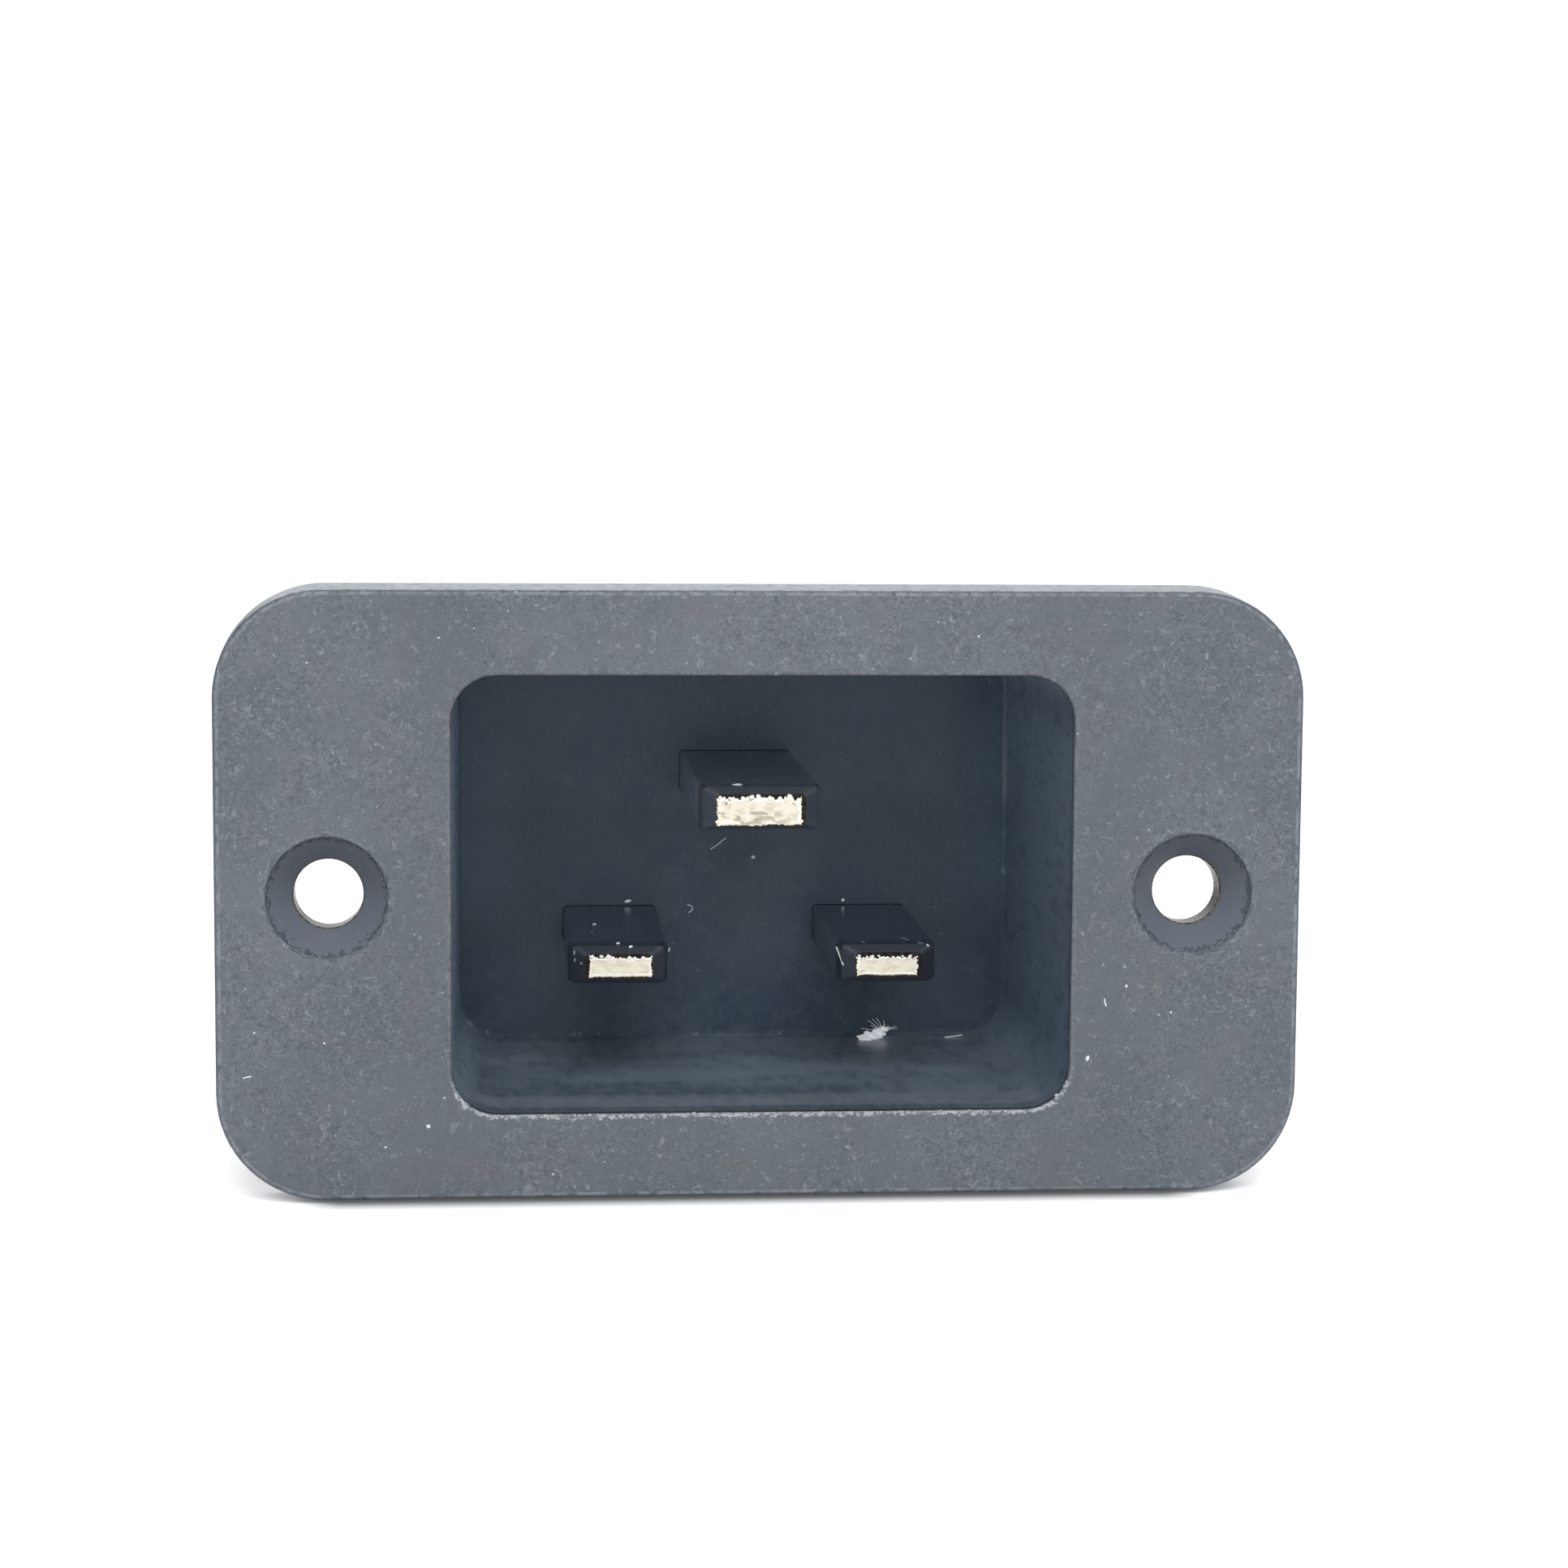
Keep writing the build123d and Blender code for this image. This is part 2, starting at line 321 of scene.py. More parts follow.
def cavity_walls(s, depth, turned, streaks, rags):
    """The cavity's smooth walls: streaked and smeared, with painted light that makes them paler deep
    inside, on the side walls towards the top, on the left wall and on the ceiling, a band of painted
    light near the mouth and painted shade just behind the lip.
    """
    height = s.along("Z")
    sideways = s.size(turned["X"])
    streaked = s.product(s.remap(streaks, 0.35, 0.7), s.remap(sideways, 0.2, 0.9, 1.0, 0.3))
    color = s.blend(streaked, srgb(90, 106, 121), srgb(122, 137, 149))
    # Painted light: the walls paler deeper in, in patches, and the side walls paler, more so towards
    # the top.
    deep = s.remap(depth, 2.0, 14.0)
    patches = s.remap(s.noise(4.5, detail=2.0, shift=43), 0.35, 0.65, 0.25, 0.75)
    color = s.blend(s.product(deep, patches), color, srgb(148, 164, 177))
    side_near = s.blend(s.remap(height, -4.0, 9.0), srgb(117, 133, 150), srgb(135, 152, 170))
    side_deep = s.blend(s.remap(height, 2.0, 9.0), srgb(140, 160, 178), srgb(168, 189, 208))
    on_side = s.remap(sideways, 0.3, 0.95)
    color = s.blend(on_side, color, s.blend(deep, side_near, side_deep))
    # Painted light: the left wall and the ceiling paler.
    lit = srgb(196, 212, 226)
    on_left = s.remap(turned["X"], 0.3, 0.95, 0.0, 0.4)
    color = s.blend(on_left, color, lit)
    on_ceiling = s.remap(turned["Z"], -0.9, -0.1, 0.6, 0.0)
    color = s.blend(on_ceiling, color, lit)
    color = s.blend(s.remap(rags, 0.48, 0.6, 0.0, 0.32), color, srgb(138, 149, 160))
    color = s.blend(s.remap(rags, 0.36, 0.46, 0.3, 0.0), color, srgb(74, 88, 102))
    # Painted light: a pale band a few millimetres in, strongest on the top and bottom walls.
    light_band = s.product(s.band(depth, 2.2, 3.8, 0.9), s.remap(sideways, 0.2, 0.9, 0.35, 0.0))
    color = s.blend(light_band, color, srgb(150, 160, 170))
    # Painted shade: a dark band about a millimetre in.
    shade_band = s.product(s.band(depth, 0.6, 1.3, 0.5), s.remap(sideways, 0.2, 0.9, 0.4, 0.15))
    color = s.blend(shade_band, color, srgb(62, 72, 84))
    # Painted shade: the walls dark just behind the lip.
    near_mouth = s.band(depth, LIP_DEPTH, 0.5, LIP_DEPTH)
    near_mouth = s.product(near_mouth, s.remap(sideways, 0.3, 0.9, 0.75, 0.4))
    return s.blend(near_mouth, color, srgb(26, 31, 38))


def cavity_floor(s, blots):
    """The cavity's floor: misty and blotched, with painted light above and at the sides and painted
    shade below and in the lower corners.
    """
    height = s.along("Z")
    aside = s.size(s.along("X"))
    mist = s.remap(s.noise(5.0, detail=3.0, shift=27), 0.3, 0.7)
    color = s.blend(mist, srgb(67, 83, 101), srgb(81, 98, 111))
    color = s.blend(s.remap(blots, 0.42, 0.75, 0.0, 0.45), color, srgb(100, 110, 117))
    color = s.blend(s.remap(blots, 0.25, 0.42, 0.5, 0.0), color, srgb(60, 70, 84))
    # Painted shade: the floor darker below the middle, away from the centre line, and in the lower
    # corners.
    off_middle = s.remap(aside, 2.5, 5.0, 0.2, 1.0)
    low_down = s.product(s.band(height, -4.5, 1.0, 2.5), 0.5, off_middle)
    color = s.blend(low_down, color, srgb(58, 68, 80))
    low_corners = s.product(s.remap(aside, 5.0, 11.0, 0.0, 0.35), s.remap(height, -6.0, 0.0, 1.0, 0.0))
    color = s.blend(low_corners, color, srgb(54, 65, 80))
    # Painted light: the floor paler towards the top and near the side walls.
    high_up = s.remap(height, 3.0, 9.5, 0.0, 0.5)
    far_aside = s.product(s.remap(aside, 10.0, 13.8, 0.0, 0.55), s.remap(height, -6.0, -1.0, 0.1, 1.0))
    return s.blend(s.larger(high_up, far_aside), color, srgb(98, 118, 136))


def floor_seam(s, from_lip, depth):
    """Where the cavity's floor meets its walls, along the bottom and up the right side: where a painted
    highlight line goes.
    """
    height = s.along("Z")
    seam = s.band(from_lip, -0.3, -0.09, 0.06)
    seam = s.product(seam, s.remap(depth, CAVITY_DEPTH - 0.25, CAVITY_DEPTH - 0.15))
    on_bottom = s.remap(height, -9.6, -9.0, 1.0, 0.0)
    on_right = s.product(s.remap(s.along("X"), 12.5, 13.5), s.remap(height, 1.0, 3.0, 0.4, 0.7))
    return s.product(seam, s.larger(on_bottom, on_right))


def cone_color(s, hole_x, from_hole, rags):
    """A countersink's cone: painted shade that darkens its upper part, turning rings, a painted dark
    rim and a dusty bore.
    """
    height = s.along("Z")
    # Painted shade: the cone darker towards its top.
    color = s.blend(s.remap(height, -1.2, 1.4), srgb(114, 121, 131), srgb(105, 111, 121))
    around = s.node("CombineXYZ")
    s.feed(around.inputs["X"], hole_x)
    s.feed(around.inputs["Z"], height)
    rings = s.node("TexWave", wave_type="RINGS", rings_direction="SPHERICAL")
    s.feed(rings.inputs["Vector"], around.outputs[0])
    rings.inputs["Scale"].default_value = 1.1
    rings.inputs["Distortion"].default_value = 3.0
    rings.inputs["Detail"].default_value = 3.0
    turned_marks = s.remap(rings.outputs["Fac"], 0.5, 1.0, 0.0, 0.12)
    turned_marks = s.product(turned_marks, s.remap(rags, 0.35, 0.65))
    color = s.blend(turned_marks, color, srgb(134, 141, 149))
    ragged = s.plus(from_hole, s.wobble(0.3, 1.0, shift=47))
    # Painted shade: a dark ragged ring just inside the countersink's edge.
    rim = s.band(ragged, COUNTERSINK_RADIUS - 0.1, COUNTERSINK_RADIUS - 0.02, 0.06)
    color = s.blend(s.product(rim, 0.6), color, srgb(58, 62, 70))
    speckle = s.remap(s.noise(0.16, detail=1.0, shift=49), 0.42, 0.6)
    bore = s.blend(speckle, srgb(68, 67, 66), srgb(122, 117, 106))
    in_bore = s.remap(from_hole, BORE_RADIUS + 0.02, BORE_RADIUS + 0.1, 1.0, 0.0)
    return s.blend(in_bore, color, bore)


def dust_and_top_light(s, upward, depth, sheltered):
    """How much dust and painted light from above a face gets: thick on top of the flange, thin behind
    it and inside.
    """
    powder = s.noise(0.4, detail=3.0, roughness=0.6, shift=77)
    # Dust and painted light: upward faces paler, in a powdery pattern.
    dust_and_light_share = s.product(s.remap(upward, 0.6, 0.95), s.remap(powder, 0.35, 0.6, 0.6, 1.0))
    in_the_open = s.remap(sheltered, 0.0, 1.0, 0.85, 0.05)
    in_front = s.remap(depth, FLANGE_DEPTH + 0.1, FLANGE_DEPTH + 1.0, 1.0, 0.15)
    return s.product(dust_and_light_share, in_the_open, in_front)


def lip_highlight_and_shadow(s, color, from_lip, depth):
    """The opening's lip: a painted highlight along its bottom and a painted shadow along its top."""
    height = s.along("Z")
    jagged = s.wobble(0.3, 0.75, detail=4.0, roughness=0.7, shift=33)
    # Painted highlight: a broken pale line along the bottom of the lip.
    white = s.band(s.plus(from_lip, jagged), -0.03, 0.17, 0.03)
    white = s.product(white, s.remap(depth, 0.05, 0.2, 1.0, 0.0))
    low = s.remap(height, -9.2, -8.3, 1.0, 0.12)
    chips = s.remap(s.noise(0.3, detail=3.0, roughness=0.7, shift=35), 0.44, 0.54, 0.1, 1.0)
    color = s.blend(s.product(white, low, chips, 0.87), color, srgb(198, 202, 207))
    # Painted shadow: a ragged dark line along the top of the lip.
    lip_shadow = s.band(s.plus(from_lip, s.product(jagged, 1.6)), -0.1, 0.1, 0.07)
    lip_shadow = s.product(lip_shadow, s.remap(height, 6.0, 9.0, 0.1, 0.4))
    return s.blend(lip_shadow, color, srgb(44, 50, 58))


def housing_material():
    """Black moulded thermoplastic: a grained flange, a smooth cavity, a nicked rim and dust, and
    painted light, shade and highlights on the edges, the lip, the countersinks and the cavity.
    """
    s = Shader("moulded_plastic")
    depth = s.minus(s.along("Y"), face_y)
    turned = s.facing()
    from_edge = s.outline_distance(*FLANGE_FACE)
    from_lip = s.outline_distance(*OPENING)
    inside = s.remap(from_lip, 0.02, 0.1, 1.0, 0.0)
    in_cavity = s.product(s.band(depth, LIP_DEPTH, CAVITY_DEPTH + 0.1, 0.07), inside)
    on_floor = s.product(in_cavity, s.remap(depth, CAVITY_DEPTH - 0.12, CAVITY_DEPTH - 0.03))
    hole_x = s.minus(s.size(s.along("X")), HOLE_X)
    behind_flange = s.remap(depth, FLANGE_DEPTH - 0.08, FLANGE_DEPTH - 0.01, 0.0, 9.0)
    from_hole = s.plus(s.length(hole_x, s.along("Z")), behind_flange)
    within_rim = s.remap(from_hole, COUNTERSINK_RADIUS, COUNTERSINK_RADIUS + 0.1, 1.0, 0.0)
    in_hole = s.product(s.remap(depth, 0.02, 0.1), within_rim)
    smooth = s.larger(in_cavity, in_hole)

    streaks = s.noise(1.6, detail=1.0, stretch=(0.12, 0.5, 0.6), shift=23)
    rags = s.noise(0.7, detail=1.5, distortion=0.5, stretch=(1.0, 0.3, 1.0), shift=25)
    blots = s.noise(0.7, detail=3.0, distortion=0.9, shift=29)
    walls = cavity_walls(s, depth, turned, streaks, rags)
    cavity = s.blend(on_floor, walls, cavity_floor(s, blots))
    # Painted highlight: a broken light line where the cavity's floor meets its walls.
    seam = floor_seam(s, from_lip, depth)
    broken_seam_highlight = s.remap(s.noise(1.3, detail=4.0, roughness=0.7, shift=45), 0.57, 0.66, 0.03, 0.9)
    broken_seam_highlight = s.larger(broken_seam_highlight, s.remap(s.along("Z"), 1.0, 3.0, 0.0, 0.5))
    cavity = s.blend(s.product(seam, broken_seam_highlight), cavity, srgb(176, 184, 192))

    color = s.blend(in_cavity, flange_color(s, from_edge, from_hole), cavity)
    color = s.blend(in_hole, color, cone_color(s, hole_x, from_hole, rags))
    # Dust and painted light from above on upward faces.
    color = s.blend(dust_and_top_light(s, turned["Z"], depth, smooth), color, srgb(206, 211, 216))
    # Painted highlight and shadow along the opening's lip.
    color = lip_highlight_and_shadow(s, color, from_lip, depth)
    specks = s.remap(s.noise(0.2, detail=0.0, distortion=0.6, shift=11), 0.82, 0.87)
    specks = s.product(specks, s.remap(smooth, 0.0, 1.0, 0.45, 0.25))
    color = s.blend(specks, color, srgb(184, 190, 196))
    lines = s.product(s.hairlines(7.0, 0.003, 17), s.remap(in_cavity, 0.0, 1.0, 0.14, 0.0))
    color = s.blend(lines, color, srgb(176, 182, 188))

    # Leathery and dull on the flange, smooth and glossy in the cavity and the countersinks
    relief = s.plus(streaks, s.product(on_floor, s.minus(blots, streaks)))
    height = s.plus(s.product(mottled_height(s), 0.6), s.product(relief, 0.4))
    height = s.product(height, s.remap(smooth, 0.0, 1.0, 1.0, 0.03))
    glossy = s.larger(s.remap(relief, 0.3, 0.8, 0.23, 0.3), s.product(seam, 0.6))
    matte = s.remap(rags, 0.3, 0.7, 0.42, 0.56)
    roughness = s.plus(matte, s.product(smooth, s.minus(glossy, matte)))
    material = s.surface(color, roughness, s.bump(height, 0.02))
    shine = s.remap(smooth, 0.0, 1.0, 0.5, 0.18)
    s.feed(s.tree.nodes["Principled BSDF"].inputs["Specular IOR Level"], shine)
    return material


def mottled_height(s):
    """The flange's leathery relief: a fine grain over a coarser one."""
    fine = s.noise(0.17, detail=2.0, roughness=0.6, distortion=0.4, shift=1)
    coarse = s.noise(0.55, detail=3.0, shift=3)
    return s.plus(s.product(fine, 0.7), s.product(coarse, 0.3))


def cover_material():
    """Plain black moulding, a little duller than the housing."""
    s = Shader("cover_plastic")
    grain = s.noise(0.2, detail=3.0, shift=21)
    clouds = s.noise(6.0, detail=2.0, shift=22)
    color = s.blend(s.remap(clouds, 0.3, 0.7), srgb(84, 89, 95), srgb(92, 97, 103))
    color = s.blend(s.remap(grain, 0.4, 0.75, 0.0, 0.4), color, srgb(112, 117, 123))
    return s.surface(color, s.remap(grain, 0.3, 0.7, 0.5, 0.62), s.bump(grain, 0.015))


def plated(name, light, dark, shift):
    """Nickel plate on drawn brass: bright, with a few scuffs along it and a faint stain."""
    s = Shader(name)
    drawn = s.noise(0.3, detail=2.0, stretch=(1, 0.05, 1), shift=shift)
    stain = s.noise(1.8, detail=4.0, shift=shift + 1)
    color = s.blend(s.remap(stain, 0.35, 0.7), light, dark)
    scuffs = s.product(s.hairlines(3.0, 0.012, shift + 2), 0.25)
    color = s.blend(scuffs, color, srgb(240, 241, 243))
    return s, color, s.remap(drawn, 0.3, 0.7, 0.16, 0.24)


def pin_material():
    """Plated sides with painted shade and reflections, darker on the lower pins, on upward faces and on
    bevels and paler on upward bevels, and at the very tip the brown edge that the shear left round the
    bare metal.
    """
    s, color, roughness = plated("pin_plate", srgb(222, 228, 235), srgb(200, 207, 216), 31)
    turned = s.facing()
    # Painted shade: the two lower pins darker than the earth pin.
    low_pin = s.remap(s.along("Z"), -1.0, 1.0, 0.9, 0.0)
    color = s.blend(low_pin, color, srgb(122, 132, 144))
    # Painted reflection of the dark cavity: upward faces darker and bluer, more so on the lower pins.
    above = s.product(s.remap(turned["Z"], 0.5, 0.95), s.remap(low_pin, 0.0, 0.9, 0.5, 0.9))
    color = s.blend(above, color, srgb(98, 114, 138))
    # Painted reflection: upward faces darker still towards the front.
    forward = s.remap(s.along("Y"), 2.0, 10.0, 0.5, 0.0)
    color = s.blend(s.product(forward, above), color, srgb(84, 96, 112))
    # Painted reflection: faces turned towards the front, the bevels, darker.
    bevelled = s.remap(turned["Y"], -0.3, -0.02, 1.0, 0.0)
    color = s.blend(bevelled, color, srgb(80, 87, 98))
    # Painted light: upward-turned bevels paler.
    upper = s.product(bevelled, s.remap(turned["Z"], 0.2, 0.8))
    color = s.blend(upper, color, srgb(112, 117, 126))
    grain = s.noise(0.15, detail=2.0, shift=59)
    burnt = s.blend(s.remap(grain, 0.4, 0.6), srgb(14, 12, 12), srgb(40, 33, 28))
    at_tip = s.remap(turned["Y"], -0.98, -0.9, 1.0, 0.0)
    roughness = s.larger(roughness, s.product(bevelled, 0.5))
    return s.surface(s.blend(at_tip, color, burnt), roughness, metallic=0.8)


def tab_material():
    """Plated strip, a little warmer than the pins."""
    s, color, roughness = plated("tab_plate", srgb(226, 222, 210), srgb(204, 199, 184), 41)
    return s.surface(color, s.plus(roughness, 0.22), metallic=0.9)


def sheared_material(name, dull, bright):
    """Bare brass where the strip was cut off: pale, torn and rough."""
    s = Shader(name)
    torn = s.noise(0.28, detail=4.0, roughness=0.65, stretch=(0.6, 1.0, 1.0), shift=51)
    color = s.blend(s.remap(torn, 0.3, 0.6), dull, bright)
    seams = s.noise(0.4, detail=2.0, distortion=1.4, stretch=(0.35, 1, 1), shift=53)
    folded = s.remap(s.along("X"), 0.3, 1.6, 0.9, 0.3)
    folds = s.product(s.remap(seams, 0.5, 0.58), s.band(s.along("Z"), 3.15, 3.65, 0.1), folded)
    color = s.blend(folds, color, srgb(170, 164, 150))
    return s.surface(color, s.remap(torn, 0.3, 0.7, 0.4, 0.62), s.bump(torn, 0.03), metallic=0.25)


def speckled(name, grain_mm, shift, dark, light, roughness, metallic=0.0):
    """A small worn spot: two colours in a fine grain, with a faint relief."""
    s = Shader(name)
    grain = s.noise(grain_mm, detail=2.0, shift=shift)
    color = s.blend(s.remap(grain, 0.35, 0.65), dark, light)
    rough = s.remap(grain, 0.3, 0.7, *roughness)
    return s.surface(color, rough, s.bump(grain, 0.01), metallic=metallic)


def sheared_rim_material():
    """The thin golden edge round a sheared end."""
    return speckled("sheared_rim", 0.12, 57, srgb(96, 66, 34), srgb(190, 150, 88), (0.3, 0.5), 0.6)


def burnt_rim_material():
    """The dark edge on the side of a sheared end where the cut broke away."""
    return speckled("burnt_rim", 0.12, 65, srgb(24, 19, 17), srgb(58, 45, 35), (0.4, 0.6), 0.4)


def scuff_material():
    """Grey smears and scrapes, duller than lint."""
    return speckled("scuff", 0.1, 67, srgb(104, 117, 126), srgb(146, 160, 170), (0.5, 0.7))


def chipped_material():
    """The housing's plastic where it is bruised and whitened, its paleness partly a painted highlight
    along the lip.
    """
    return speckled("bruised_plastic", 0.12, 63, srgb(158, 164, 170), srgb(206, 210, 214), (0.45, 0.65))


def lint_material(name, glow):
    """White fluff and dust, with a glow: painted light standing in for the light that its fibres let
    through.
    """
    s = Shader(name)
    fuzz = s.noise(0.1, detail=3.0, shift=61)
    color = s.blend(s.remap(fuzz, 0.3, 0.7), srgb(214, 223, 231), srgb(240, 247, 253))
    rough = s.remap(fuzz, 0.3, 0.7, 0.7, 0.9)
    # Painted light: an emission glow brightens the lint.
    return s.surface(color, rough, s.bump(fuzz, 0.02), Emission_Strength=glow)


def dress(node, material):
    """Gives one of the model's own meshes its material."""
    mesh = nodes[node].data
    mesh.materials.clear()
    mesh.materials.append(material)


def add_piece(name, mesh_or_curve):
    """Puts a piece of the part into the scene, on the part's one body."""
    piece = bpy.data.objects.new(name, mesh_or_curve)
    bpy.context.scene.collection.objects.link(piece)
    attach(piece, "root")
    return piece


def ragged(place, size, grain, seed):
    """How far a torn edge strays at a place along it, in millimetres."""
    chance = Vector((seed * 7.31, seed * 3.17, 0.0))
    return size * noise.noise(Vector((place / grain, 0.0, 0.0)) + chance)


def torn_face(centre, front, wide, tall, tear, seed):
    """The crust's points, row by row: a ragged rectangle with a raised bead and pulled corners."""
    def ear(share):
        return 0.06 * abs(share) ** 9

    points = []
    for row in range(CRUST_ROWS + 1):
        v = 2 * row / CRUST_ROWS - 1
        for column in range(CRUST_COLUMNS + 1):
            u = 2 * column / CRUST_COLUMNS - 1
            coarse = ragged(v * tall, 0.09, 0.22, seed)
            fine = ragged(v * tall + 5, 0.05, 0.09, seed)
            across = u * (wide / 2 + (coarse + fine) + ear(v))
            place = u * wide
            coarse = ragged(place, tear, 0.3, seed)
            fine = ragged(place + 7, tear, 0.13, seed)
            top = tall / 2 + coarse + fine + ear(u)
            sag = ragged(place + 9, tear * 0.3, 0.9, seed) + 0.03 * (1 - u * u)
            bottom = tall / 2 + sag + ear(u)
            up = v * (top if v > 0 else bottom)
            rim = max(abs(u), abs(v)) ** 14
            lumps = 0.5 + 0.5 * noise.noise(Vector((across / 0.22, up / 0.12, seed)))
            bead = exp(-((max(abs(u) - 0.92, abs(v) - 0.8) / 0.06) ** 2))
            proud = CRUST_MM * MM * (0.3 + 0.4 * lumps + 0.5 * bead) * (1 - rim)
            y = front - proud - CRUST_GAP * MM
            points.append((centre.x + across * MM, y, centre.z + up * MM))
    return points


def torn_slot(row, column, seed):
    """Which material a face of the crust has, by its row and column."""
    outer = row in (0, CRUST_ROWS - 1) or column in (0, CRUST_COLUMNS - 1)
    unbroken = noise.noise(Vector((column / 3, row / 3, seed + 0.5))) > -0.12
    if outer and unbroken:
        return BURNT if row == CRUST_ROWS - 1 or column == CRUST_COLUMNS - 1 else GOLDEN
    inset = min(row, CRUST_ROWS - 1 - row, column, CRUST_COLUMNS - 1 - column)
    width = 3 + 2.5 * noise.noise(Vector((column / 5, row / 5, seed + 3.5)))
    return ROLLED if inset < width else TORN


def sheared_end(contact, wide, tall, aside, drop, tear, seed):
    """The bright torn end of a pin: a thin crust with a ragged edge, and small burrs on top."""
    low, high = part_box(contact + "_pin")
    centre = (low + high) / 2 + Vector((aside, 0.0, -drop)) * MM
    verts = torn_face(centre, low.y, wide, tall, tear, seed)
    back = len(verts)
    sunk = low.y + CRUST_SUNK * MM
    verts += [(x, sunk, z) for x, y, z in verts]
    faces = []
    slots = []
    stride = CRUST_COLUMNS + 1
    for row in range(CRUST_ROWS):
        for column in range(CRUST_COLUMNS):
            a = row * stride + column
            faces.append((a, a + 1, a + stride + 1, a + stride))
            faces.append(tuple(back + i for i in (a, a + stride, a + stride + 1, a + 1)))
            slots += [torn_slot(row, column, seed), TORN]
    first_side = len(faces)
    loop = list(range(CRUST_COLUMNS)) + [row * stride + CRUST_COLUMNS for row in range(CRUST_ROWS)]
    loop += [CRUST_ROWS * stride + column for column in range(CRUST_COLUMNS, 0, -1)]
    loop += [row * stride for row in range(CRUST_ROWS, 0, -1)]
    for index, (a, b) in enumerate(zip(loop, loop[1:] + loop[:1])):
        faces.append((b, a, back + a, back + b))
        slots.append(BURNT if CRUST_COLUMNS <= index < 2 * CRUST_COLUMNS + CRUST_ROWS else GOLDEN)
    mesh = bpy.data.meshes.new(contact + "_sheared_end")
    mesh.from_pydata(verts, [], faces)
    for material in (sheared, sheared_rim, burnt_rim, rolled):
        mesh.materials.append(material)
    for index, face in enumerate(mesh.polygons):
        face.use_smooth = index < first_side
        face.material_index = slots[index]
    add_piece(contact + "_sheared_end", mesh)

    rng = random.Random(seed)
    burrs = []
    place = -0.46
    while place < 0.47:
        size = rng.uniform(0.13, 0.26)
        x = centre.x / MM + place * wide
        z = centre.z / MM + tall / 2 + rng.uniform(-0.04, 0.07)
        burrs.append((x, low.y / MM - 0.01, z, size, size * rng.uniform(0.6, 1.0), 0.07))
        place += rng.uniform(0.06, 0.16)
    crumbs(contact + "_burrs", burrs, rolled, seed)


def fibre(name, points, thickness, material=None):
    """A fine hair or thread of lint through points given in millimetres."""
    curve = bpy.data.curves.new(name, "CURVE")
    curve.dimensions = "3D"
    curve.bevel_depth = thickness / 2 * MM
    curve.bevel_resolution = 1
    curve.resolution_u = 6
    spline = curve.splines.new("NURBS")
    spline.points.add(len(points) - 1)
    for point, place in zip(spline.points, points):
        point.co = [v * MM for v in place] + [1.0]
    spline.order_u = 3
    spline.use_endpoint_u = True
    curve.materials.append(material or lint)
    add_piece(name, curve)


def flat_fibre(name, depth, points, thickness, material=None):
    """A fibre that lies flat on a face: each point is x and z."""
    fibre(name, [(x, depth, z) for x, z in points], thickness, material)


def crumbs(name, places, material, seed, fineness=3):
    """Small flattened lumps: each place is x, y, z, width, height, thickness in millimetres."""
    rng = random.Random(seed)
    lumps = bmesh.new()
    for x, y, z, width, height, thickness in places:
        made = bmesh.ops.create_icosphere(lumps, subdivisions=fineness, radius=0.5)["verts"]
        turn = Matrix.Rotation(rng.uniform(-0.5, 0.5), 3, "Y")
        shift = Vector((x, z, y)) * 1.7
        for vert in made:
            coarse = 0.5 * noise.noise(vert.co * 3.1 + shift)
            fine = 0.25 * noise.noise(vert.co * 9.0 + shift)
            lump = 1 + coarse + fine
            place = turn @ Vector((vert.co.x * width, vert.co.y * thickness, vert.co.z * height)) * lump
            vert.co = (place + Vector((x, y, z))) * MM
    mesh = bpy.data.meshes.new(name)
    lumps.to_mesh(mesh)
    lumps.free()
    for face in mesh.polygons:
        face.use_smooth = True
    mesh.materials.append(material)
    add_piece(name, mesh)


def worn_lip():
    """The chipped edge along the bottom of the opening and round its lower corners: pale chips that are
    partly real chipping and partly a painted highlight along the lip.
    """
    rng = random.Random(4)
    radius = OPENING[2]
    flat = OPENING[0] / 2 - radius
    corner_z = radius - OPENING[1] / 2
    reach = radius + 0.05
    chips = []
    along = -flat - 1.3 * radius
    while along < flat + 1.25 * radius:
        over = max(abs(along) - flat, 0.0) / radius
        side = 1 if along > 0 else -1
        out = reach + rng.uniform(-0.04, 0.05)
        x = side * (min(abs(along), flat) + out * sin(over))
        z = corner_z - out * cos(over)
        wear = 0.7 if over > 1.2 else 1.35 if along > flat else 1.0
        size = rng.uniform(0.05, 0.12) * wear
        chips.append((x, face_y + 0.01, z, size * rng.uniform(1.0, 2.2), size, 0.07))
        along += rng.uniform(0.08, 0.4)
    # Pale chips, partly a painted highlight along the lip.
    crumbs("worn_lip_chips", chips, chipped_material(), 14, 2)


